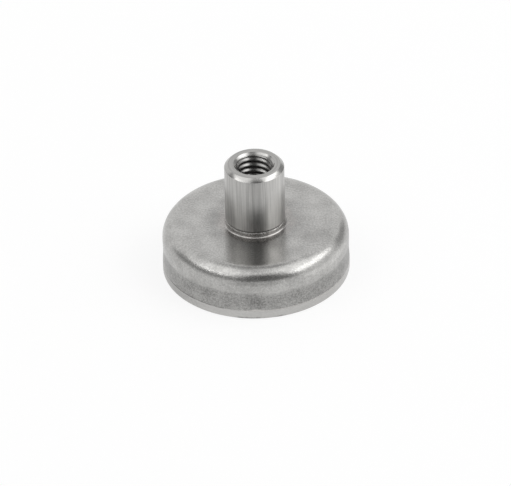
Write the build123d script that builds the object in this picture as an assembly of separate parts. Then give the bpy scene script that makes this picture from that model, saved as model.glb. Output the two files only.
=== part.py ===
from build123d import *
import os
from math import cos, radians, sin, tan

# Encapsulated pot magnet with a threaded bush, at real size in millimetres.
#
# A deep-drawn stainless steel housing is closed from below by a turned base
# cover. Inside sit a mild steel pole pot and a rare-earth disc magnet, cast in
# resin. The bush stands on a raised seat, is spigoted through the housing and
# is welded all round. The axis of everything is Z. The origin is the centre
# of the magnetic face, which is the face that the object stands on.

# --- driving dimensions ------------------------------------------------------
cup_d = 20.0            # outside diameter of the skirt and the base cover
cup_h = 5.8             # magnetic face to the flat top of the housing
overall_h = 13.2        # magnetic face to the end of the bush
sheet_t = 0.5           # housing sheet
shoulder_r = 1.8        # outside drawing radius between the top and the wall

# Drawn wall: it bulges under the shoulder, draws in, and flares to the skirt.
bulge_in = 0.025        # how far the bulge stands inside the skirt's radius
waist_in = 0.065        # the same for the waist
bulge_z = 3.7
waist_z = 2.3
skirt_z = 1.15          # the wall is straight from here down

# Base cover: a shallow dish with a full-diameter rim.
cover_rim_h = 1.0
cover_face_t = 0.4      # thin face in front of the magnet
seam_chamfer = 0.08     # V for the seam weld, on the cover and on the housing
seam_recess = 0.04      # how far the seam weld stays below the skirt
cover_edge_chamfer = 0.12

# Threaded bush.
bush_d = 6.4
bush_chamfer = 0.4
bush_foot_chamfer = 0.06
spigot_d = 5.0
thread_major_d = 4.0    # M4 x 0.7, bored here at its minor diameter
thread_minor_d = 3.4
countersink_over = 0.4  # how much wider than the thread the mouth is
countersink_angle = 90.0
bore_depth = 6.2        # bush end to the end of the full-diameter bore
drill_point_angle = 118.0

# Raised seat under the bush, and the weld between the two.
seat_d = 6.5
seat_h = 0.2
seat_flare = 0.12       # sloping foot of the seat
seat_recess_d = 6.0     # hollow that pressing the seat leaves underneath
weld_h = 0.44
weld_d = 6.44           # across the crown of the bead
weld_crown = 0.10       # how far the bead bulges beyond its two toes
weld_land = 0.16        # height of the crown between the two slopes

# Magnetic system.
pole_d = 18.8
pole_corner_chamfer = 1.3
pole_top_t = 1.3
pole_wall_t = 1.3
magnet_d = 14.4
magnet_h = 3.5

# --- derived dimensions ------------------------------------------------------
skirt_r = cup_d / 2
bulge_r = skirt_r - bulge_in
waist_r = skirt_r - waist_in
under_top_z = cup_h - sheet_t
seat_top_z = cup_h + seat_h
bush_foot_z = seat_top_z + weld_h
spigot_end_z = under_top_z + seat_h
bush_r = bush_d / 2
spigot_r = spigot_d / 2
bore_r = thread_minor_d / 2
mouth_r = (thread_major_d + countersink_over) / 2
bore_end_z = overall_h - bore_depth
drill_point_h = bore_r / tan(radians(drill_point_angle / 2))
countersink_h = (mouth_r - bore_r) / tan(radians(countersink_angle / 2))
cavity_r = pole_d / 2 - pole_wall_t
cavity_top_z = under_top_z - pole_top_t


def turn(*lines):
    """Revolve a closed outline of (radius, height) lines about the Z axis."""
    edges = [edge for line in lines for edge in line.edges()]
    return revolve(Plane.XZ * make_face(edges), Axis.Z)


def make_housing():
    """Drawn cup, open below, with the pressed seat and the bush's hole."""
    seat_r = seat_d / 2
    recess_r = seat_recess_d / 2
    inner_r = waist_r - sheet_t
    shoulder_z = cup_h - shoulder_r
    inner_shoulder_r = shoulder_r - sheet_t
    inner_round = [
        (
            inner_r - inner_shoulder_r * (1 - cos(radians(angle))),
            shoulder_z + inner_shoulder_r * sin(radians(angle)),
        )
        for angle in (0, 30, 60, 90)
    ]
    down = (0, -1)
    drawn_wall = Spline(
        (bulge_r, bulge_z),
        (waist_r, waist_z),
        (skirt_r, skirt_z),
        tangents=[down, down, down],
    )
    return turn(
        Polyline(
            (spigot_r, seat_top_z),
            (seat_r, seat_top_z),
            (seat_r, cup_h + seat_flare),
            (seat_r + seat_flare, cup_h),
            (bulge_r - shoulder_r, cup_h),
        ),
        CenterArc((bulge_r - shoulder_r, shoulder_z), shoulder_r, 0, 90),
        Line((bulge_r, shoulder_z), (bulge_r, bulge_z)),
        drawn_wall,
        Polyline(
            (skirt_r, skirt_z),
            (skirt_r, cover_rim_h + seam_chamfer),
            (skirt_r - seam_chamfer, cover_rim_h),
            (inner_r, cover_rim_h),
            *inner_round,
            (recess_r, under_top_z),
            (recess_r, spigot_end_z),
            (spigot_r, spigot_end_z),
            (spigot_r, seat_top_z),
        ),
    )


def make_base_cover():
    """Dish that closes the housing; its underside is the magnetic face."""
    return turn(Polyline(
        (0, 0),
        (skirt_r - cover_edge_chamfer, 0),
        (skirt_r, cover_edge_chamfer),
        (skirt_r, cover_rim_h - seam_chamfer),
        (skirt_r - seam_chamfer, cover_rim_h),
        (pole_d / 2, cover_rim_h),
        (pole_d / 2, cover_face_t),
        (0, cover_face_t),
        close=True,
    ))


def make_seam_weld():
    """Weld metal in the V between the base cover and the housing."""
    face_r = skirt_r - seam_recess
    half_h = seam_chamfer - seam_recess
    return turn(Polyline(
        (skirt_r - seam_chamfer, cover_rim_h),
        (face_r, cover_rim_h - half_h),
        (face_r, cover_rim_h + half_h),
        close=True,
    ))


def make_threaded_bush():
    """Bush turned from bar, with its spigot, bore, countersink and drill point."""
    return turn(Polyline(
        (0, spigot_end_z),
        (spigot_r, spigot_end_z),
        (spigot_r, bush_foot_z),
        (bush_r - bush_foot_chamfer, bush_foot_z),
        (bush_r, bush_foot_z + bush_foot_chamfer),
        (bush_r, overall_h - bush_chamfer),
        (bush_r - bush_chamfer, overall_h),
        (mouth_r, overall_h),
        (bore_r, overall_h - countersink_h),
        (bore_r, bore_end_z),
        (0, bore_end_z - drill_point_h),
        close=True,
    ))


def make_bush_weld():
    """Bead that joins the bush's foot to the seat, bulging between its toes."""
    crown_r = weld_d / 2
    toe_r = crown_r - weld_crown
    middle_z = seat_top_z + weld_h / 2
    return turn(Polyline(
        (spigot_r, seat_top_z),
        (toe_r, seat_top_z),
        (crown_r, middle_z - weld_land / 2),
        (crown_r, middle_z + weld_land / 2),
        (toe_r, bush_foot_z),
        (spigot_r, bush_foot_z),
        close=True,
    ))


def make_pole_pot():
    """Mild steel pot that leads the flux round the magnet to the face."""
    outer_r = pole_d / 2
    return turn(Polyline(
        (0, under_top_z),
        (0, cavity_top_z),
        (cavity_r, cavity_top_z),
        (cavity_r, cover_face_t),
        (outer_r, cover_face_t),
        (outer_r, under_top_z - pole_corner_chamfer),
        (outer_r - pole_corner_chamfer, under_top_z),
        close=True,
    ))


def make_magnet():
    """Sintered disc, magnetised through its thickness."""
    return Pos(Z=cover_face_t) * extrude(Circle(magnet_d / 2), magnet_h)


def make_casting_resin(magnet):
    """Resin that fills the pot's cavity over and around the magnet."""
    cavity_h = cavity_top_z - cover_face_t
    return Pos(Z=cover_face_t) * extrude(Circle(cavity_r), cavity_h) - magnet


magnet = make_magnet()
nodes = {
    "housing": make_housing(),
    "base_cover": make_base_cover(),
    "seam_weld": make_seam_weld(),
    "threaded_bush": make_threaded_bush(),
    "bush_weld": make_bush_weld(),
    "pole_pot": make_pole_pot(),
    "magnet": magnet,
    "casting_resin": make_casting_resin(magnet),
}

os.makedirs("parts", exist_ok=True)
for name, solid in nodes.items():
    export_step(solid, f"parts/{name}.step")
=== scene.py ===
from math import cos, pi, radians, sin, tan, tau

import bmesh
import bpy
from mathutils import Matrix, Vector, noise


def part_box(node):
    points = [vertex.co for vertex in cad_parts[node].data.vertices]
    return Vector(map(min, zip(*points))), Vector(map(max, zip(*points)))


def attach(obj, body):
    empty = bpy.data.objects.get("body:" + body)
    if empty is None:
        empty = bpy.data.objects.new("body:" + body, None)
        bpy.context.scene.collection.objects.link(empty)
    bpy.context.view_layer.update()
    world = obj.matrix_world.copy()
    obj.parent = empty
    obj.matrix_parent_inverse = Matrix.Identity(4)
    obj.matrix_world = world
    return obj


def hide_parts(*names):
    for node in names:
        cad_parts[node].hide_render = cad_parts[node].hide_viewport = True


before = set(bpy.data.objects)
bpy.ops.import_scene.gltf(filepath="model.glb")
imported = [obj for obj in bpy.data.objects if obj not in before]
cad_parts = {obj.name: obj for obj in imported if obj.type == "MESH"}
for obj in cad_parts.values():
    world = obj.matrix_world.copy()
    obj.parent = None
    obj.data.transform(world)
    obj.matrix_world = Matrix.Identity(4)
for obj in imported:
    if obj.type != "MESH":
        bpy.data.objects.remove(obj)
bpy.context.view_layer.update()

# Encapsulated pot magnet with a threaded bush.
#
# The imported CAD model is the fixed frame. Each operator builds one visible
# piece of the magnet around it, with the finish that the piece has from its
# own making: drawing, turning, drawing through a die, or welding. The axis of
# everything is Z, and the object stands on Z = 0. Lengths are in metres.

bl_info = {
    "name": "Pot magnet",
    "version": (1, 0, 0),
    "blender": (4, 5, 0),
    "location": "3D View > Sidebar > Pot magnet",
    "description": "Builds a stainless pot magnet with a threaded bush",
    "category": "Add Mesh",
}

MM = 0.001
BODY = "root"

# --- what the frame gives ----------------------------------------------------
_, HOUSING_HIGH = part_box("housing")
BUSH_LOW, BUSH_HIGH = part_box("threaded_bush")
_, COVER_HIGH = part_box("base_cover")
_, BUSH_WELD_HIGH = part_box("bush_weld")
POT_LOW, POT_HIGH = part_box("pole_pot")

SKIRT_R = HOUSING_HIGH.x
SEAT_TOP_Z = HOUSING_HIGH.z
JOINT_Z = COVER_HIGH.z
SPIGOT_END_Z = BUSH_LOW.z
BUSH_END_Z = BUSH_HIGH.z
BUSH_R = BUSH_HIGH.x
BUSH_FOOT_Z = BUSH_WELD_HIGH.z
BEAD_R = BUSH_WELD_HIGH.x
POT_R = POT_HIGH.x
POT_FOOT_Z = POT_LOW.z

# --- how fine the meshes are -------------------------------------------------
TURN_STEPS = 256        # round the axis
SEAM_TURNS = 3          # times as fine for the seam weld
BEAD_TURNS = 2          # and for the bush weld
SHOULDER_STEPS = 30     # along the shoulder's round
INNER_STEPS = 10        # along the round inside it
WALL_STEPS = 14         # along each half of the drawn wall
PLATE_STEPS = 12        # across the flat top
SEAT_STEPS = 4          # along the rounds of the seat
ROUND_STEPS = 3         # along the small rounds of turned edges
SEAM_STEPS = 12         # across the seam weld
BEAD_STEPS = 14         # across the bush weld
PITCH_STEPS = 24        # along one pitch of the thread
CARD_STEPS = 12         # along each side of a card
SHARP_ANGLE = radians(32)
MERGE_DISTANCE = 1e-8


# --- settings ----------------------------------------------------------------
def length(name, description, millimetres, least=0.0):
    """A length property with its default given in millimetres."""
    return bpy.props.FloatProperty(
        name=name, description=description, default=millimetres * MM,
        min=least, precision=5, unit="LENGTH",
    )


def angle(name, description, degrees):
    """An angle property with its default given in degrees."""
    return bpy.props.FloatProperty(
        name=name, description=description, default=radians(degrees), unit="ROTATION"
    )


def share(name, description, default):
    """A plain number from 0 to 1."""
    return bpy.props.FloatProperty(
        name=name, description=description, default=default,
        min=0.0, max=1.0, subtype="FACTOR",
    )


def strength(name, description, default):
    """A plain number from 0 up, such as a lamp's radiance."""
    return bpy.props.FloatProperty(
        name=name, description=description, default=default, min=0.0
    )


def colour(name, description, rgb):
    """A linear colour without alpha."""
    return bpy.props.FloatVectorProperty(
        name=name, description=description, default=rgb,
        min=0.0, max=1.0, size=3, subtype="COLOR",
    )


class HousingSizes(bpy.types.PropertyGroup):
    """Sizes of the deep-drawn housing and of the base cover that closes it."""

    top_z: length("Top height", "Flat top above the magnetic face", 5.8)
    sheet: length("Sheet", "Thickness of the sheet", 0.5)
    shoulder: length("Shoulder radius", "Outside drawing radius", 1.8)
    bulge_in: length("Bulge inset", "Bulge inside the skirt's radius", 0.025)
    waist_in: length("Waist inset", "Waist inside the skirt's radius", 0.065)
    bulge_z: length("Bulge height", "Where the wall starts to draw in", 3.7)
    waist_z: length("Waist height", "Narrowest place of the wall", 2.3)
    skirt_z: length("Skirt height", "The wall is straight below this", 1.15)
    skirt_in: length("Skirt inset", "Skirt inside the base cover's rim", 0.01)
    seat_r: length("Seat radius", "Raised seat under the bush", 3.25)
    seat_edge: length("Seat edge", "Round on the edges of the seat", 0.03)
    flare_rise: length("Flare height", "Where the seat's foot flares out", 0.1)
    flare_reach: length("Flare reach", "How far the seat's foot flares", 0.12)
    recess_r: length("Recess radius", "Hollow under the pressed seat", 3.0)
    hole_r: length("Hole radius", "Hole for the bush's spigot", 2.5)
    lip_chamfer: length("Lip chamfer", "Chamfer above the seam weld", 0.08)
    cover_lip: length("Cover lip", "Chamfer below the seam weld", 0.03)
    cover_edge: length("Cover edge", "Chamfer round the magnetic face", 0.12)
    cover_round: length("Cover round", "Small round on the cover's edges", 0.02)


class BushSizes(bpy.types.PropertyGroup):
    """Sizes of the turned bush and its metric thread."""

    chamfer: length("End chamfer", "Chamfer round the end face", 0.4)
    foot_chamfer: length("Foot chamfer", "Chamfer above the weld", 0.06)
    edge: length("Broken edge", "Small round on the turned edges", 0.03)
    major_r: length("Major radius", "Root of the internal thread", 1.935)
    minor_r: length("Minor radius", "Crest of the internal thread", 1.7)
    pitch: length("Pitch", "Thread pitch", 0.7)
    mouth_r: length("Mouth radius", "Countersink at the end face", 2.2)
    mouth_blend: length("Mouth blend", "Softness where it meets the thread", 0.02)
    bore_depth: length("Bore depth", "End face to the end of the bore", 6.2)
    root_flat: share("Root flat", "Share of the pitch that is root", 0.0)
    crest_flat: share("Crest flat", "Share of the pitch that is crest", 0.1)
    soften: share("Softened corners", "How soft crest and root are", 0.25)
    run_out: length("Run-out", "Length over which the thread dies out", 0.9)
    drill_point: angle("Drill point", "Angle across the drill's tip", 118.0)
    thread_start: angle("Thread start", "Where the thread meets the mouth", 192.6)


class WeldSizes(bpy.types.PropertyGroup):
    """Sizes of the two weld beads."""

    toe_in: length("Toe inset", "Depth of the toes beside the crown", 0.11)
    low_toe: share("Low toe", "Share of the inset at the lower toe", 0.45)
    lump: length("Lump height", "Roughness of the bush's weld", 0.035)
    lump_size: length("Lump size", "Width of one lump", 0.22)
    seam_deep: length("Seam recess", "Depth of the seam where it is open", 0.06)
    seam_cover: length("Seam cover", "How far the full seam covers its lips", 0.06)
    filled_turn: angle("Filled turn", "Middle of the half that is full", -18.0)
    patch_turn: angle("Patch turn", "Where the closing patch is", -89.5)
    patch_reach: angle("Patch reach", "Half of the patch's turn", 5.0)
    patch_rise: length("Patch rise", "How far the patch runs up the skirt", 0.16)
    ripple: length("Ripple", "Length of the ripples in the seam weld", 0.6)
    soot_deep: length("Soot depth", "Depth of the seam that is all soot", 0.084)
    bare_deep: length("Bare depth", "Depth of both welds that is all bare", 0.02)
    seam_bare: share("Seam bareness", "Least share of bare metal in the seam", 0.75)
    bead_bare: share("Bead bareness", "Least share of it in the bush's weld", 0.45)


class Finishes(bpy.types.PropertyGroup):
    """Colours and roughness of the metals and the resin."""

    drawn_colour: colour("Drawn steel", "Tumbled drawn sheet", (0.495, 0.49, 0.477))
    bar_colour: colour("Bar steel", "Turned bush", (0.50, 0.494, 0.481))
    cover_colour: colour("Cover steel", "Turned base cover", (0.53, 0.524, 0.511))
    weld_colour: colour("Weld metal", "Fused steel", (0.50, 0.49, 0.475))
    heat_colour: colour("Heat tint", "Tint beside the weld", (0.47, 0.38, 0.35))
    heat_tint: share("Heat tint share", "How strong the tint is", 0.18)
    # Painted shade with some oil grime: root and crest of the thread darker.
    grime: share("Thread grime", "Darkening of root and crest", 0.15)
    # Painted shade: the whole thread's colour is darkened for the shadow inside the
    # bore.
    bore_tone: share("Bore tone", "Darkening of the whole thread", 0.33)
    soot_colour: colour("Soot", "Oxide in the crevices", (0.11, 0.105, 0.097))
    mild_colour: colour("Mild steel", "Hidden pole pot", (0.35, 0.34, 0.33))
    plate_colour: colour("Nickel", "Plating on the magnet", (0.62, 0.59, 0.54))
    resin_colour: colour("Resin", "Casting resin", (0.035, 0.033, 0.03))
    drawn_roughness: share("Drawn roughness", "Satin of the housing", 0.28)
    bar_roughness: share("Bar roughness", "Satin of the bush", 0.16)
    cover_roughness: share("Cover roughness", "Satin of the cover", 0.33)


class Studio(bpy.types.PropertyGroup):
    """Camera, floor and lamps."""

    camera_distance: length("Camera distance", "From the foot's centre", 1000.0)
    camera_elevation: angle("Camera elevation", "Above the floor", 34.8)
    camera_roll: angle("Camera roll", "Tilt of the camera to its right", 1.3)
    view_width: length("View width", "What the frame shows at the foot", 54.73)
    aim_right: length("Aim right", "Aim right of the foot's centre", -0.096, -1.0)
    aim_up: length("Aim up", "Aim above the foot's centre", 2.378)
    background: strength("Background", "Brightness of floor and backdrop", 1.0)
    fill: strength("Fill", "Light that the surroundings give", 0.55)
    floor_shadow: share("Floor shadow", "Share of the floor that is lit", 0.22)
    floor_glow: share("Floor glow", "Brightness of the floor by itself", 0.825)
    floor_gap: length("Floor gap", "Floor below the magnetic face", 0.02)
    floor_reach: length("Floor reach", "Half of the floor's width", 4000.0)
    lamp_distance: length("Lamp distance", "From the foot's centre", 1200.0)
    apron_reach: length("Apron reach", "Far edge of the floor cards", 700.0)


SETTINGS = {
    "pot_magnet_housing": HousingSizes,
    "pot_magnet_bush": BushSizes,
    "pot_magnet_weld": WeldSizes,
    "pot_magnet_finish": Finishes,
    "pot_magnet_studio": Studio,
}


# --- outlines ----------------------------------------------------------------
def arc(centre, radius, start, end, steps):
    """Points along an arc in the (radius, height) plane, angles in degrees."""
    points = []
    for step in range(steps + 1):
        turn = radians(start + (end - start) * step / steps)
        points.append((centre[0] + radius * cos(turn), centre[1] + radius * sin(turn)))
    return points


def ease(share_done):
    """Smooth step from 0 to 1, level at both ends."""
    share_done = min(max(share_done, 0.0), 1.0)
    return share_done * share_done * (3 - 2 * share_done)


def eased(start, end, steps):
    """Points from start to end that leave and arrive parallel to the axis."""
    points = []
    for step in range(1, steps + 1):
        done = step / steps
        points.append((
            start[0] + (end[0] - start[0]) * ease(done),
            start[1] + (end[1] - start[1]) * done,
        ))
    return points


def rounded(corners, radius, steps=ROUND_STEPS):
    """The corners as one run, each inner corner cut back to a small round."""
    run = [corners[0]]
    for before, corner, after in zip(corners, corners[1:], corners[2:]):
        here = Vector(corner)
        back = (Vector(before) - here).normalized() * radius
        ahead = (Vector(after) - here).normalized() * radius
        for step in range(steps + 1):
            done = step / steps
            point = here + back * (1 - done) ** 2 + ahead * done ** 2
            run.append((point.x, point.y))
    run.append(corners[-1])
    return run


# --- meshes ------------------------------------------------------------------
def turned(outline, closed, shift=None, rounds=TURN_STEPS):
    """Verts and faces of an outline of (radius, height) turned about Z.

    A closed outline never meets the axis, and an open one runs from surface
    to surface. shift(turn, index) gives what is added to (radius, height).
    """
    count = len(outline)
    verts, faces = [], []
    for step in range(rounds):
        turn = tau * step / rounds
        for index, (radius, height) in enumerate(outline):
            if shift:
                add_r, add_z = shift(turn, index)
                radius, height = radius + add_r, height + add_z
            verts.append((radius * cos(turn), radius * sin(turn), height))
    for step in range(rounds):
        here, there = step * count, (step + 1) % rounds * count
        for index in range(count if closed else count - 1):
            ahead = (index + 1) % count
            faces.append((here + index, there + index, there + ahead, here + ahead))
    return verts, faces


def add_piece(name, grids, material, node):
    """One closed mesh from several grids, standing for a CAD node."""
    shape = bmesh.new()
    for verts, faces in grids:
        made = [shape.verts.new(vert) for vert in verts]
        for face in faces:
            corners = list(dict.fromkeys(made[index] for index in face))
            if len(corners) > 2:
                shape.faces.new(corners)
    bmesh.ops.remove_doubles(shape, verts=shape.verts, dist=MERGE_DISTANCE)
    bmesh.ops.dissolve_degenerate(shape, edges=shape.edges, dist=MERGE_DISTANCE)
    bmesh.ops.recalc_face_normals(shape, faces=shape.faces)
    mesh = bpy.data.meshes.new(name)
    shape.to_mesh(mesh)
    shape.free()
    mesh.shade_smooth()
    mesh.set_sharp_from_angle(angle=SHARP_ANGLE)
    mesh.materials.append(material)
    piece = bpy.data.objects.new(name, mesh)
    bpy.context.scene.collection.objects.link(piece)
    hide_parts(node)
    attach(piece, BODY)
    return piece


# --- node trees --------------------------------------------------------------
BLACK = (0.0, 0.0, 0.0)


class Sketch:
    """Short calls that add and link the nodes of one tree."""

    def __init__(self, tree):
        self.tree = tree

    def add(self, kind, inputs=None, **settings):
        node = self.tree.nodes.new(kind)
        for key, value in settings.items():
            setattr(node, key, value)
        for socket, value in (inputs or {}).items():
            self.feed(node.inputs[socket], value)
        return node

    def feed(self, socket, value):
        """Link the socket or set its value. A colour comes without its alpha."""
        if isinstance(value, bpy.types.NodeSocket):
            self.tree.links.new(value, socket)
        elif isinstance(value, tuple):
            socket.default_value = (*value, 1.0) if socket.type == "RGBA" else value
        else:
            socket.default_value = value

    def math(self, operation, *values):
        node = self.add("ShaderNodeMath", operation=operation)
        for socket, value in zip(node.inputs, values):
            self.feed(socket, value)
        return node.outputs[0]

    def times(self, first, second):
        return self.math("MULTIPLY", first, second)

    def rest(self, value):
        """What a value leaves of one."""
        return self.math("SUBTRACT", 1.0, value)

    def remap(self, value, low, high, to_low=0.0, to_high=1.0):
        """Soft step from to_low, where the value is low, to to_high."""
        node = self.add("ShaderNodeMapRange", {
            "Value": value, "From Min": low, "From Max": high,
            "To Min": to_low, "To Max": to_high,
        }, interpolation_type="SMOOTHSTEP")
        return node.outputs["Result"]

    def past(self, value, edge, low, high):
        """Soft step over low to high, both in millimetres past an edge."""
        return self.remap(value, edge / MM + low, edge / MM + high)

    def mix(self, factor, first, second):
        node = self.add("ShaderNodeMix", data_type="RGBA")
        for socket, value in zip((node.inputs[0], node.inputs[6], node.inputs[7]),
                                 (factor, first, second)):
            self.feed(socket, value)
        return node.outputs[2]

    def place(self):
        """Object coordinates in millimetres, as a vector."""
        coordinates = self.add("ShaderNodeTexCoord").outputs["Object"]
        return self.stretched(coordinates, (1 / MM, 1 / MM, 1 / MM))

    def stretched(self, vector, scales):
        """The vector with each part multiplied by its own scale."""
        return self.add("ShaderNodeVectorMath", {0: vector, 1: scales},
                        operation="MULTIPLY").outputs[0]

    def parts(self, vector):
        return self.add("ShaderNodeSeparateXYZ", {0: vector}).outputs

    def polar(self, place):
        """Distance from the axis and height of a place, both in millimetres."""
        across, ahead, height = self.parts(place)
        square = self.math("ADD", self.times(across, across), self.times(ahead, ahead))
        return self.math("SQRT", square), height

    def noise(self, vector, size, detail=2.0, rough=0.5):
        """Noise with lumps of a size, in millimetres or linked."""
        scale = self.math("DIVIDE", 1.0, size)
        return self.add("ShaderNodeTexNoise", {
            "Vector": vector, "Scale": scale, "Detail": detail, "Roughness": rough,
        }).outputs[0]

    def wobbled(self, value, vector, size, amount):
        """The value moved up and down by soft noise."""
        drift = self.math("SUBTRACT", self.noise(vector, size, 2.0), 0.5)
        return self.math("ADD", value, self.times(drift, amount))

    def weighted(self, *pairs):
        """Sum of values times their weights."""
        total = None
        for value, weight in pairs:
            part = self.times(value, weight)
            total = part if total is None else self.math("ADD", total, part)
        return total

    def group(self, tree, inputs):
        node = self.add("ShaderNodeGroup", node_tree=tree)
        for socket, value in inputs.items():
            self.feed(node.inputs[socket], value)
        return node.outputs

    def blot(self, place, spot, reach):
        """Ragged soft patch round a spot, its reach given for each axis."""
        away = self.add("ShaderNodeVectorMath", {0: place, 1: spot},
                        operation="SUBTRACT").outputs[0]
        away = self.stretched(away, tuple(1 / size for size in reach))
        length_node = self.add("ShaderNodeVectorMath", {0: away}, operation="LENGTH")
        away = self.wobbled(length_node.outputs["Value"], place, 0.35, 1.1)
        return self.remap(away, 1.15, 0.2)

    def spotted(self, level, place, spots):
        """The level, darker in each spot of (place, reach, amount)."""
        for spot, reach, amount in spots:
            patch = self.times(self.blot(place, spot, reach), amount)
            level = self.math("SUBTRACT", level, patch)
        return level

    def paint(self, shader, level, rgb):
        """The colour, darkened to a level, as the surface's own."""
        self.feed(shader.inputs["Base Color"], self.mix(level, BLACK, tuple(rgb)))

    def roughen(self, shader, base, *pairs):
        """The base roughness plus values times their weights."""
        self.feed(shader.inputs["Roughness"],
                  self.math("ADD", base, self.weighted(*pairs)))

    def relief(self, shader, *pairs):
        """Bump from heights times their weights, in millimetres."""
        bump = self.add("ShaderNodeBump", {
            "Height": self.weighted(*pairs), "Strength": 1.0, "Distance": MM,
        })
        self.feed(shader.inputs["Normal"], bump.outputs[0])


def new_group(name, inputs, outputs):
    """An empty shader node group with named float inputs and outputs."""
    tree = bpy.data.node_groups.new(name, "ShaderNodeTree")
    for socket, default in inputs.items():
        made = tree.interface.new_socket(
            name=socket, in_out="INPUT", socket_type="NodeSocketFloat"
        )
        made.default_value = default
    for socket in outputs:
        tree.interface.new_socket(
            name=socket, in_out="OUTPUT", socket_type="NodeSocketFloat"
        )
    sketch = Sketch(tree)
    entry = sketch.add("NodeGroupInput")
    leave = sketch.add("NodeGroupOutput")
    return sketch, entry.outputs, leave.inputs


def shared(build):
    """The node group that the function builds, built when first asked for."""
    return bpy.data.node_groups.get(build.__name__) or build(build.__name__)


def satin_grain(name):
    """Tumbled satin: fine pits with soft clouds over them."""
    sketch, given, out = new_group(
        name, {"Grain": 0.16, "Cloud": 1.6}, ("Height", "Tone")
    )
    place = sketch.place()
    fine = sketch.noise(place, given["Grain"], 1.5, 0.5)
    cloud = sketch.noise(place, given["Cloud"], 2.0, 0.5)
    sketch.feed(out["Height"], fine)
    sketch.feed(out["Tone"], sketch.remap(
        sketch.weighted((fine, 0.6), (cloud, 0.4)), 0.3, 0.7))
    return sketch.tree


def ring_streaks(name):
    """Streaks that a tool leaves as it goes round the axis."""
    sketch, given, out = new_group(
        name, {"Width": 0.05, "Length": 3.0}, ("Height", "Tone")
    )
    place = sketch.place()
    radius, height = sketch.polar(place)
    across = sketch.weighted((radius, 0.83), (height, -1.0))
    along = sketch.parts(place)
    streak_place = sketch.add("ShaderNodeCombineXYZ", {
        "X": sketch.math("DIVIDE", along[0], given["Length"]),
        "Y": sketch.math("DIVIDE", along[1], given["Length"]),
        "Z": sketch.math("DIVIDE", across, given["Width"]),
    }).outputs[0]
    streaks = sketch.noise(streak_place, 1.0, 3.0, 0.6)
    sketch.feed(out["Height"], streaks)
    sketch.feed(out["Tone"], sketch.remap(streaks, 0.3, 0.7))
    return sketch.tree


def new_material(name):
    """A material with an empty Principled shader, as (material, sketch, shader)."""
    material = bpy.data.materials.new(name)
    material.use_nodes = True
    material.node_tree.nodes.clear()
    sketch = Sketch(material.node_tree)
    shader = sketch.add("ShaderNodeBsdfPrincipled", {"Metallic": 1.0})
    sketch.add("ShaderNodeOutputMaterial", {"Surface": shader.outputs[0]})
    return material, sketch, shader


# Scuffs on the skirt beside the end of the seam weld, and a duller place on the
# flat top: place and reach in millimetres, and share of darkening.
SCUFFS = (
    ((0.1, -9.94, 2.1), (1.5, 0.7, 0.75), 0.09),
    ((1.75, -9.8, 1.6), (0.8, 0.7, 0.8), 0.08),
    ((6.3, -2.8, 5.8), (2.4, 2.2, 0.6), 0.15),
)

# Dark places on the base cover: two painted contact shadows on the edge that it stands
# on, and its duller left side.
COVER_DARK_PLACES = (
    ((-1.0, -9.95, 0.05), (2.0, 0.5, 0.24), 0.62),
    ((2.4, -9.7, 0.05), (0.7, 0.5, 0.22), 0.5),
    ((-9.3, -4.2, 0.5), (5.0, 6.0, 3.0), 0.2),
)

# Where the housing's finish changes, in millimetres. Each pair is where a zone
# starts and where it is full.
SKIRT_ZONE = (3.4, 2.95)        # heights of the smeared part of the wall
WAIST_Z = 2.35
WAIST_ZONE = (0.75, 0.1)        # distances from the waist's height
TOP_ZONE = (5.2, 5.6)           # heights that keep the ring off the wall
PLATE_ZONE = (5.6, 5.78)        # heights of the smoother flat top
SEAT_ZONE = (5.8, 5.84)         # heights of the raised seat
WELD_RING = (6.1, 4.3)          # radii of the darker ring round the weld
HEAT_RING = (4.5, 3.7)          # radii of the heat tint

# Where the painted shade and oil grime lie in the thread, in shares of the pitch from
# the root.
ROOT_ZONE = (0.14, 0.04)
CREST_ZONE = (0.34, 0.42)


def thread_offset(thread):
    """What brings height / pitch - turn to the thread's own count of turns."""
    return (1.0 + thread.thread_start / tau
            - (BUSH_END_Z - thread.bore_depth) / thread.pitch)


def drawn_steel(finish):
    """Housing sheet: tumbled satin, with smears round the drawn wall."""
    material, sketch, shader = new_material("drawn_stainless_satin")
    grain = sketch.group(shared(satin_grain), {"Grain": 0.2, "Cloud": 1.8})
    smear = sketch.group(shared(ring_streaks), {"Width": 0.07, "Length": 0.45})
    place = sketch.place()
    fleck = sketch.remap(sketch.noise(place, 0.11, 1.0), 0.35, 0.65)
    radius, height = sketch.polar(place)
    flat_place = sketch.stretched(place, (0.5, 0.5, 2.0))
    ragged_z = sketch.wobbled(height, flat_place, 1.0, 0.7)
    ragged_r = sketch.wobbled(radius, place, 1.3, 1.5)
    from_waist = sketch.math("ABSOLUTE", sketch.math("SUBTRACT", height, WAIST_Z))
    skirt = sketch.remap(ragged_z, *SKIRT_ZONE)
    waist = sketch.remap(from_waist, *WAIST_ZONE)
    ring = sketch.times(sketch.remap(ragged_r, *WELD_RING),
                        sketch.remap(height, *TOP_ZONE))
    heat = sketch.times(sketch.remap(ragged_r, *HEAT_RING),
                        sketch.noise(place, 0.9, 1.0))
    level = sketch.rest(sketch.weighted(
        (skirt, 0.06), (waist, 0.05), (ring, 0.15),
        (sketch.remap(height, *SEAT_ZONE), 0.06),
        (sketch.rest(grain["Tone"]), 0.3),
        (sketch.times(skirt, smear["Tone"]), 0.14),
        (sketch.times(skirt, fleck), 0.16),
    ))
    level = sketch.spotted(level, place, SCUFFS)
    sketch.feed(shader.inputs["Base Color"], sketch.mix(
        sketch.times(heat, finish.heat_tint),
        sketch.mix(level, BLACK, tuple(finish.drawn_colour)),
        tuple(finish.heat_colour),
    ))
    sketch.roughen(
        shader, finish.drawn_roughness,
        (grain["Tone"], -0.03), (skirt, 0.05), (smear["Tone"], 0.03),
        (sketch.remap(height, *PLATE_ZONE), -0.07), (ring, 0.04),
    )
    sketch.relief(
        shader,
        (grain["Height"], 0.012), (sketch.times(skirt, smear["Height"]), 0.004),
    )
    return material


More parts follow.
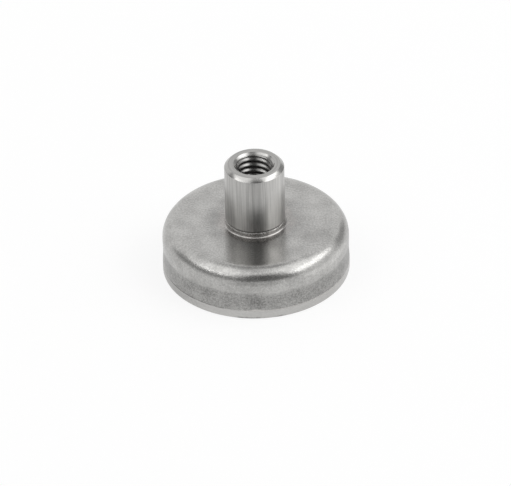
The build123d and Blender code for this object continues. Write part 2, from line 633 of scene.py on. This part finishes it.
def bar_steel(finish, thread):
    """Bush: fine streaks along the bar, rings on its end, painted shade and oil grime
    in the thread, painted shade at its foot.
    """
    material, sketch, shader = new_material("drawn_bar_stainless")
    place = sketch.place()
    radius, height = sketch.polar(place)
    across, ahead, _ = sketch.parts(place)
    rings = sketch.group(shared(ring_streaks), {"Width": 0.05, "Length": 4.0})
    grain = sketch.group(shared(satin_grain), {"Grain": 0.14, "Cloud": 0.8})
    streaks = sketch.noise(sketch.stretched(place, (1.0, 1.0, 0.012)), 0.075, 0.0)
    wall = sketch.past(radius, BUSH_R, -0.03, -0.01)
    # Painted shade on the bush's foot, just above the weld bead.
    toe = sketch.past(height, BUSH_FOOT_Z, 0.15, 0.05)
    end_face = sketch.past(height, BUSH_END_Z, -0.04, -0.01)
    cut = sketch.rest(sketch.math("MAXIMUM", wall, end_face))
    # Painted shade: the whole thread is darker, for the shadow inside the bore.
    bore = sketch.past(radius, thread.major_r, 0.1, 0.02)
    turns = sketch.math("DIVIDE", sketch.math("ARCTAN2", ahead, across), tau)
    pitches = sketch.math("DIVIDE", height, thread.pitch / MM)
    rise = sketch.math("ADD", sketch.math("SUBTRACT", pitches, turns),
                       thread_offset(thread))
    from_root = sketch.math("ABSOLUTE", sketch.math(
        "SUBTRACT", sketch.math("FRACT", rise), 0.5))
    # Painted shade with some oil grime: root and crest of the thread darker.
    grime = sketch.times(bore, sketch.math(
        "MAXIMUM", sketch.remap(from_root, *ROOT_ZONE),
        sketch.remap(from_root, *CREST_ZONE)))
    ring_tone = sketch.remap(rings["Tone"], 0.0, 1.0, 0.6, 1.4)
    level = sketch.rest(sketch.weighted(
        (sketch.times(wall, sketch.remap(streaks, 0.35, 0.65)), 0.22),
        (sketch.times(end_face, ring_tone), 0.22),
        (grain["Tone"], 0.05), (cut, 0.14), (toe, 0.5),
        (bore, finish.bore_tone), (grime, finish.grime),
    ))
    sketch.paint(shader, level, finish.bar_colour)
    sketch.roughen(
        shader, finish.bar_roughness,
        (wall, 0.14), (cut, 0.06), (sketch.times(wall, streaks), 0.08), (grime, 0.2),
    )
    sketch.relief(
        shader,
        (sketch.times(wall, streaks), 0.005),
        (sketch.times(sketch.rest(wall), rings["Height"]), 0.0015),
    )
    return material


def cover_steel(finish):
    """Base cover: turned rim, a ground magnetic face, painted contact shadow on its
    edge.
    """
    material, sketch, shader = new_material("turned_cover_stainless")
    rings = sketch.group(shared(ring_streaks), {"Width": 0.08, "Length": 3.0})
    grain = sketch.group(shared(satin_grain), {"Grain": 0.18, "Cloud": 2.2})
    level = sketch.rest(sketch.weighted((rings["Tone"], 0.08), (grain["Tone"], 0.1)))
    # Painted contact shadow on the edge that the cover stands on, and a darker left
    # side.
    level = sketch.spotted(level, sketch.place(), COVER_DARK_PLACES)
    sketch.paint(shader, level, finish.cover_colour)
    sketch.roughen(shader, finish.cover_roughness, (grain["Tone"], -0.04))
    sketch.relief(shader, (rings["Height"], 0.002), (grain["Height"], 0.002))
    return material


def weld_steel(finish, name, least_bare, soot_r, bare_r):
    """Fused metal: soot up to a radius, and bare metal from another outwards."""
    material, sketch, shader = new_material(name)
    grain = sketch.group(shared(satin_grain), {"Grain": 0.09, "Cloud": 0.5})
    radius, _ = sketch.polar(sketch.place())
    bare = sketch.times(sketch.remap(radius, soot_r / MM, bare_r / MM),
                        sketch.remap(grain["Tone"], 0.0, 0.7, least_bare, 1.0))
    sketch.feed(shader.inputs["Base Color"], sketch.mix(
        bare, tuple(finish.soot_colour), tuple(finish.weld_colour)))
    sketch.feed(shader.inputs["Roughness"], sketch.remap(bare, 0.0, 1.0, 0.6, 0.26))
    sketch.relief(shader, (grain["Height"], 0.02))
    return material


# --- operators ---------------------------------------------------------------
class BuildHousing(bpy.types.Operator):
    """Build the drawn housing with its shoulder, drawn wall and raised seat"""

    bl_idname = "pot_magnet.build_housing"
    bl_label = "Housing"

    def execute(self, context):
        sizes = context.scene.pot_magnet_housing
        skirt_r = SKIRT_R - sizes.skirt_in
        bulge_r = SKIRT_R - sizes.bulge_in
        waist_r = SKIRT_R - sizes.waist_in
        shoulder_z = sizes.top_z - sizes.shoulder
        inner_r = waist_r - sizes.sheet
        inner_shoulder = sizes.shoulder - sizes.sheet
        under_z = sizes.top_z - sizes.sheet
        plate_r = bulge_r - sizes.shoulder
        flare_r = sizes.seat_r + sizes.flare_reach
        plate = [
            (flare_r + (plate_r - flare_r) * step / PLATE_STEPS, sizes.top_z)
            for step in range(PLATE_STEPS)
        ]
        wall = [(bulge_r, sizes.bulge_z)]
        wall += eased(wall[0], (waist_r, sizes.waist_z), WALL_STEPS)
        wall += eased(wall[-1], (skirt_r, sizes.skirt_z), WALL_STEPS)
        outline = rounded([
            (sizes.hole_r, SEAT_TOP_Z),
            (sizes.seat_r, SEAT_TOP_Z),
            (sizes.seat_r, sizes.top_z + sizes.flare_rise),
            plate[0],
            plate[1],
        ], sizes.seat_edge, SEAT_STEPS)
        outline += plate[2:]
        outline += arc((plate_r, shoulder_z), sizes.shoulder, 90, 0, SHOULDER_STEPS)
        outline += wall
        outline += [
            (skirt_r, JOINT_Z + sizes.lip_chamfer),
            (skirt_r - sizes.lip_chamfer, JOINT_Z),
            (inner_r, JOINT_Z),
        ]
        outline += arc((inner_r - inner_shoulder, shoulder_z), inner_shoulder,
                       0, 90, INNER_STEPS)
        outline += [
            (sizes.recess_r, under_z),
            (sizes.recess_r, SPIGOT_END_Z),
            (sizes.hole_r, SPIGOT_END_Z),
        ]
        material = drawn_steel(context.scene.pot_magnet_finish)
        add_piece("drawn_housing", [turned(outline, True)], material,
                  "housing")
        return {"FINISHED"}


class BuildBaseCover(bpy.types.Operator):
    """Build the turned base cover that closes the housing"""

    bl_idname = "pot_magnet.build_base_cover"
    bl_label = "Base cover"

    def execute(self, context):
        sizes = context.scene.pot_magnet_housing
        edge = sizes.cover_edge
        lip = sizes.cover_lip
        outline = rounded([
            (0.0, 0.0),
            (SKIRT_R - edge, 0.0),
            (SKIRT_R, edge),
            (SKIRT_R, JOINT_Z - lip),
            (SKIRT_R - lip, JOINT_Z),
            (POT_R, JOINT_Z),
            (POT_R, POT_FOOT_Z),
            (0.0, POT_FOOT_Z),
        ], sizes.cover_round)
        material = cover_steel(context.scene.pot_magnet_finish)
        add_piece("turned_base_cover", [turned(outline, False)], material,
                  "base_cover")
        return {"FINISHED"}


class BuildSeamWeld(bpy.types.Operator):
    """Build the weld in the joint between the housing and the base cover"""

    bl_idname = "pot_magnet.build_seam_weld"
    bl_label = "Seam weld"

    def execute(self, context):
        sizes = context.scene.pot_magnet_weld
        toe = sizes.seam_deep / 2
        outline = [(SKIRT_R - 2 * sizes.seam_deep, JOINT_Z)]
        outline += [(SKIRT_R, JOINT_Z + toe * (2 * step / SEAM_STEPS - 1))
                    for step in range(SEAM_STEPS + 1)]

        def shift(turn, index):
            """Hollow where the seam is open, and spread over its lips where full."""
            if index == 0:
                return 0.0, 0.0
            along = 2 * (index - 1) / SEAM_STEPS - 1
            spot = Vector((cos(turn), sin(turn), 0.0)) * SKIRT_R
            ripple = noise.noise(spot / sizes.ripple)
            filled = ease(0.5 + 2 * cos(turn - sizes.filled_turn) + 0.5 * ripple)
            gap = (turn - sizes.patch_turn + pi) % tau - pi
            patch = ease(1.5 - abs(gap) / sizes.patch_reach)
            filled = max(filled, patch)
            add_r = -sizes.seam_deep * (1 - filled) - toe * abs(along) ** 8
            add_z = along * filled * sizes.seam_cover
            if along > 0:
                fray = noise.noise(spot / sizes.lump_size)
                climb = patch * sizes.patch_rise * (1 + 0.5 * ripple + 0.4 * fray)
                add_z += along * climb
            return add_r, add_z

        material = weld_steel(
            context.scene.pot_magnet_finish, "seam_weld_metal", sizes.seam_bare,
            SKIRT_R - sizes.soot_deep, SKIRT_R - sizes.bare_deep)
        grid = turned(outline, True, shift, SEAM_TURNS * TURN_STEPS)
        add_piece("seam_weld_bead", [grid], material, "seam_weld")
        return {"FINISHED"}


class BuildBush(bpy.types.Operator):
    """Build the turned bush with its tapped blind bore"""

    bl_idname = "pot_magnet.build_bush"
    bl_label = "Threaded bush"

    def thread_radius(self, sizes, rise):
        """Radius of the thread at a share of one pitch, its corners softened."""
        across = abs(rise % 1.0 - 0.5) * 2
        climb = (across - sizes.root_flat) / (1 - sizes.root_flat - sizes.crest_flat)
        climb = min(max(climb, 0.0), 1.0)
        climb -= sizes.soften * sin(tau * climb) / tau
        return sizes.major_r - (sizes.major_r - sizes.minor_r) * climb

    def bore(self, sizes):
        """Helical grid from the mouth of the bore down to its end."""
        bore_end_z = BUSH_END_Z - sizes.bore_depth
        rows = int((sizes.bore_depth / sizes.pitch + 1) * PITCH_STEPS) + 2
        offset = thread_offset(sizes)
        verts, faces = [], []
        for step in range(TURN_STEPS):
            turn = tau * step / TURN_STEPS
            for row in range(rows):
                rise = row / PITCH_STEPS
                height = bore_end_z + sizes.pitch * (rise - 1 + turn / tau)
                height = min(max(height, bore_end_z), BUSH_END_Z)
                radius = self.thread_radius(
                    sizes, height / sizes.pitch - turn / tau + offset)
                fade = ease((height - bore_end_z) / sizes.run_out)
                radius = sizes.minor_r + (radius - sizes.minor_r) * fade
                cone = sizes.mouth_r - (BUSH_END_Z - height)
                gap = ((radius - cone) ** 2 + sizes.mouth_blend ** 2) ** 0.5
                radius = (radius + cone + gap) / 2
                if height == BUSH_END_Z:
                    radius = sizes.mouth_r
                verts.append((radius * cos(turn), radius * sin(turn), height))
        for step in range(TURN_STEPS):
            here = step * rows
            there = (step + 1) % TURN_STEPS * rows
            lead = PITCH_STEPS if step == TURN_STEPS - 1 else 0
            for row in range(rows - 1):
                if row + lead + 1 < rows:
                    faces.append((here + row, here + row + 1,
                                  there + row + 1 + lead, there + row + lead))
        return verts, faces

    def execute(self, context):
        sizes = context.scene.pot_magnet_bush
        hole_r = context.scene.pot_magnet_housing.hole_r
        bore_end_z = BUSH_END_Z - sizes.bore_depth
        tip_z = bore_end_z - sizes.minor_r / tan(sizes.drill_point / 2)
        outline = rounded([
            (0.0, SPIGOT_END_Z),
            (hole_r, SPIGOT_END_Z),
            (hole_r, BUSH_FOOT_Z),
            (BUSH_R - sizes.foot_chamfer, BUSH_FOOT_Z),
            (BUSH_R, BUSH_FOOT_Z + sizes.foot_chamfer),
            (BUSH_R, BUSH_END_Z - sizes.chamfer),
            (BUSH_R - sizes.chamfer, BUSH_END_Z),
            (sizes.mouth_r, BUSH_END_Z),
        ], sizes.edge)
        drill_point = [(sizes.minor_r, bore_end_z), (0.0, tip_z)]
        material = bar_steel(context.scene.pot_magnet_finish, sizes)
        add_piece(
            "tapped_bush",
            [turned(outline, False), self.bore(sizes), turned(drill_point, False)],
            material, "threaded_bush",
        )
        return {"FINISHED"}


class BuildBushWeld(bpy.types.Operator):
    """Build the rough bead between the bush's foot and the seat"""

    bl_idname = "pot_magnet.build_bush_weld"
    bl_label = "Bush weld"

    def execute(self, context):
        sizes = context.scene.pot_magnet_weld
        hole_r = context.scene.pot_magnet_housing.hole_r
        height = BUSH_FOOT_Z - SEAT_TOP_Z
        outline = [(hole_r, BUSH_FOOT_Z), (hole_r, SEAT_TOP_Z)]
        for step in range(BEAD_STEPS + 1):
            rise = step / BEAD_STEPS
            toe_in = sizes.toe_in * (1 if rise > 0.5 else sizes.low_toe)
            crown = sin(pi * rise) ** 1.5
            outline.append((BEAD_R - toe_in * (1 - crown), SEAT_TOP_Z + height * rise))

        def shift(turn, index):
            """Lumps, more of them hollow than proud, between the bead's toes."""
            if index < 3 or index == len(outline) - 1:
                return 0.0, 0.0
            radius, z = outline[index]
            spot = Vector((radius * cos(turn), radius * sin(turn), z))
            lump = noise.noise(spot / sizes.lump_size) - 0.35
            return lump * sizes.lump, 0.0

        material = weld_steel(
            context.scene.pot_magnet_finish, "bush_weld_metal", sizes.bead_bare,
            BEAD_R - sizes.toe_in, BEAD_R - sizes.bare_deep)
        grid = turned(outline, True, shift, BEAD_TURNS * TURN_STEPS)
        add_piece("bush_weld_bead", [grid], material, "bush_weld")
        return {"FINISHED"}


class FinishInnerParts(bpy.types.Operator):
    """Give the hidden pole pot, magnet and resin their finishes"""

    bl_idname = "pot_magnet.finish_inner_parts"
    bl_label = "Inner parts"

    def execute(self, context):
        finish = context.scene.pot_magnet_finish
        for node, rgb, metallic, roughness in (
            ("pole_pot", finish.mild_colour, 1.0, 0.45),
            ("magnet", finish.plate_colour, 1.0, 0.25),
            ("casting_resin", finish.resin_colour, 0.0, 0.4),
        ):
            material, sketch, shader = new_material(node + "_finish")
            grain = sketch.group(shared(satin_grain), {"Grain": 0.3, "Cloud": 2.0})
            sketch.paint(shader, sketch.rest(sketch.times(grain["Tone"], 0.2)), rgb)
            sketch.feed(shader.inputs["Metallic"], metallic)
            sketch.feed(shader.inputs["Roughness"], roughness)
            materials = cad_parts[node].data.materials
            materials.clear()
            materials.append(material)
        return {"FINISHED"}


# The camera sees from its distance over this ratio to its distance times it.
CLIP_RATIO = 20

# Soft lamps: name, azimuth and elevation in degrees, width and height as shares
# of the lamp's distance, and radiance. Azimuths are counted from +X.
LAMPS = (
    ("softbox_right", -11, 56, 0.88, 0.82, 0.66),
    ("strip_right", -9, 42, 1.02, 0.34, 1.4),
    ("softbox_left", -158, 45, 0.88, 1.37, 0.55),
    ("strip_left", -152, 27, 0.72, 0.52, 1.9),
)

# Dim cards that the metal mirrors: name, brightness, distance in metres, the
# kind of angles and two low and two high corners. A corner is an azimuth and an
# elevation, or a lean to +X and a pitch that passes 90 overhead, in degrees.
FLAGS = (
    ("flag_front", 0.17, 0.9, "azimuth", (-117, 9), (-38, 9), (-105, 50), (-52, 50)),
    ("flag_upper", 0.52, 0.9, "azimuth", (-103, 50), (-52, 50), (-100, 62), (-56, 61)),
    ("flag_core", 0.03, 0.85, "azimuth", (-101, 34), (-69, 34), (-101, 53), (-69, 53)),
    ("flag_overhead", 0.25, 0.9, "lean", (-6, 76), (6, 76), (-6, 89), (6, 89)),
    ("flag_rear", 0.4, 0.9, "lean", (-8, 98), (8, 98), (-10, 122), (10, 122)),
    ("flag_back", 0.42, 0.9, "azimuth", (24, 0), (57, 0), (24, 32), (50, 32)),
    ("flag_left", 0.36, 0.9, "azimuth", (156, 6), (250, 11), (160, 34), (250, 37)),
)

# Cards that lie on the floor: name, brightness, first and last azimuth in
# degrees, and distance of the near edge in millimetres.
APRONS = (
    ("apron_front", 0.6, -112, -67, 24),
    ("apron_right", 1.3, -38, 18, 17),
)


class BuildStudio(bpy.types.Operator):
    """Set up the camera, the floor, the soft lamps and the cards"""

    bl_idname = "pot_magnet.build_studio"
    bl_label = "Studio"

    def camera(self, context):
        studio = context.scene.pot_magnet_studio
        elevation, distance = studio.camera_elevation, studio.camera_distance
        ahead = Vector((0, cos(elevation), -sin(elevation)))
        up = Vector((0, sin(elevation), cos(elevation)))
        across = Vector((1, 0, 0))
        roll = Matrix.Rotation(studio.camera_roll, 3, ahead)
        up, across = roll @ up, roll @ across
        data = bpy.data.cameras.new("camera")
        data.lens = data.sensor_width * distance / studio.view_width
        data.clip_start, data.clip_end = distance / CLIP_RATIO, distance * CLIP_RATIO
        camera = bpy.data.objects.new("camera", data)
        context.scene.collection.objects.link(camera)
        turn = Matrix((across, up, -ahead)).transposed()
        camera.matrix_world = Matrix.Translation(
            across * studio.aim_right + up * studio.aim_up - ahead * distance
        ) @ turn.to_4x4()
        context.scene.camera = camera

    def towards(self, azimuth, elevation):
        """Unit vector from the foot's centre, azimuth counted from +X."""
        azimuth, elevation = radians(azimuth), radians(elevation)
        return Vector((cos(elevation) * cos(azimuth),
                       cos(elevation) * sin(azimuth), sin(elevation)))

    def seen_or_lit(self, sketch, seen, lit):
        """One level for rays that see the backdrop and one for its light."""
        paths = sketch.add("ShaderNodeLightPath").outputs
        look = sketch.math("MAXIMUM", paths["Is Camera Ray"], sketch.math(
            "MAXIMUM", paths["Is Glossy Ray"], paths["Is Transmission Ray"]))
        return sketch.remap(look, 0.0, 1.0, lit, seen)

    def stage_card(self, name, verts, faces):
        """A part of the stage with an empty material, as (object, sketch)."""
        mesh = bpy.data.meshes.new(name)
        mesh.from_pydata(verts, [], faces)
        card = bpy.data.objects.new(name, mesh)
        bpy.context.scene.collection.objects.link(card)
        material = bpy.data.materials.new(name)
        material.use_nodes = True
        material.node_tree.nodes.clear()
        mesh.materials.append(material)
        return card, Sketch(material.node_tree)

    def floor(self, studio):
        """Pale floor that keeps the object's shadow."""
        reach = studio.floor_reach
        corners = [(-reach, -reach), (reach, -reach), (reach, reach), (-reach, reach)]
        _, sketch = self.stage_card(
            "studio_floor", [(x, y, -studio.floor_gap) for x, y in corners],
            [(0, 1, 2, 3)])
        grey = (studio.floor_shadow,) * 3
        glow = self.seen_or_lit(sketch, studio.floor_glow, 0.0)
        pale = sketch.add("ShaderNodeBsdfDiffuse", {"Color": grey}).outputs[0]
        shine = sketch.add("ShaderNodeEmission", {"Strength": glow}).outputs[0]
        both = sketch.add("ShaderNodeAddShader", {0: pale, 1: shine})
        sketch.add("ShaderNodeOutputMaterial", {"Surface": both.outputs[0]})

    def world(self, scene, studio):
        """White surroundings that give less light than they show."""
        world = bpy.data.worlds.new("studio")
        scene.world = world
        world.use_nodes = True
        world.node_tree.nodes.clear()
        sketch = Sketch(world.node_tree)
        level = self.seen_or_lit(sketch, studio.background, studio.fill)
        back = sketch.add("ShaderNodeBackground", {
            "Color": (1.0, 1.0, 1.0), "Strength": level,
        })
        sketch.add("ShaderNodeOutputWorld", {"Surface": back.outputs[0]})

    def lamp(self, scene, distance, name, azimuth, elevation, width, height, radiance):
        """Flat soft lamp that faces the object and that the camera doesn't see."""
        ray = self.towards(azimuth, elevation)
        data = bpy.data.lights.new(name, "AREA")
        data.shape = "RECTANGLE"
        data.size, data.size_y = width * distance, height * distance
        data.energy = radiance * pi * data.size * data.size_y
        lamp = bpy.data.objects.new(name, data)
        scene.collection.objects.link(lamp)
        lamp.location = ray * distance
        lamp.rotation_mode = "QUATERNION"
        lamp.rotation_quaternion = (-ray).to_track_quat("-Z", "Y")
        lamp.visible_camera = False

    def flag(self, name, level, distance, facing, corners):
        """Dim card, bent round the object, that the metal mirrors.

        facing gives the direction to a pair of angles.
        """
        low_from, low_to, high_from, high_to = (Vector(pair) for pair in corners)
        column = CARD_STEPS + 1
        verts, faces = [], []
        for step in range(column):
            low = low_from.lerp(low_to, step / CARD_STEPS)
            high = high_from.lerp(high_to, step / CARD_STEPS)
            for rise in range(column):
                verts.append(facing(*low.lerp(high, rise / CARD_STEPS)) * distance)
        for step in range(CARD_STEPS):
            for rise in range(CARD_STEPS):
                here = step * column + rise
                faces.append((here, here + 1, here + column + 1, here + column))
        card, sketch = self.stage_card(name, verts, faces)
        card.visible_camera = False
        dim = sketch.add("ShaderNodeEmission", {"Strength": level})
        sketch.add("ShaderNodeOutputMaterial", {"Surface": dim.outputs[0]})

    def apron(self, name, level, azimuth_from, azimuth_to, near, far):
        """Card that lies on the floor from near to far and casts no shadow."""
        outline = [self.towards(azimuth, 0) * reach for azimuth, reach in (
            (azimuth_from, near), (azimuth_to, near),
            (azimuth_to, far), (azimuth_from, far))]
        card, sketch = self.stage_card(name, outline, [(0, 1, 2, 3)])
        for rays in ("camera", "shadow", "diffuse"):
            setattr(card, "visible_" + rays, False)
        shine = sketch.add("ShaderNodeEmission", {"Strength": level})
        sketch.add("ShaderNodeOutputMaterial", {"Surface": shine.outputs[0]})

    def overhead(self, lean, pitch):
        """Direction that leans to +X and is pitched up from the front."""
        return Matrix.Rotation(-radians(pitch), 3, "X") @ Vector(
            (sin(radians(lean)), -cos(radians(lean)), 0))

    def execute(self, context):
        scene = context.scene
        studio = scene.pot_magnet_studio
        self.camera(context)
        self.floor(studio)
        self.world(scene, studio)
        for lamp in LAMPS:
            self.lamp(scene, studio.lamp_distance, *lamp)
        facing = {"azimuth": self.towards, "lean": self.overhead}
        for name, level, distance, kind, *corners in FLAGS:
            self.flag(name, level, distance, facing[kind], corners)
        for *card, near in APRONS:
            self.apron(*card, near * MM, studio.apron_reach)
        scene.view_settings.view_transform = "Standard"
        return {"FINISHED"}


class PotMagnetPanel(bpy.types.Panel):
    """Lists the pieces of the pot magnet"""

    bl_idname = "VIEW3D_PT_pot_magnet"
    bl_label = "Pot magnet"
    bl_space_type = "VIEW_3D"
    bl_region_type = "UI"
    bl_category = "Pot magnet"

    def draw(self, context):
        for operator in OPERATORS:
            self.layout.operator(operator.bl_idname)


OPERATORS = (
    BuildStudio,
    BuildHousing,
    BuildBaseCover,
    BuildSeamWeld,
    BuildBush,
    BuildBushWeld,
    FinishInnerParts,
)
CLASSES = (*SETTINGS.values(), *OPERATORS, PotMagnetPanel)


def register():
    for made in CLASSES:
        bpy.utils.register_class(made)
    for name, group in SETTINGS.items():
        setattr(bpy.types.Scene, name, bpy.props.PointerProperty(type=group))


def unregister():
    for name in SETTINGS:
        delattr(bpy.types.Scene, name)
    for made in reversed(CLASSES):
        bpy.utils.unregister_class(made)


def main():
    register()
    for operator in OPERATORS:
        group, name = operator.bl_idname.split(".")
        getattr(getattr(bpy.ops, group), name)()


if __name__ == "__main__":
    main()
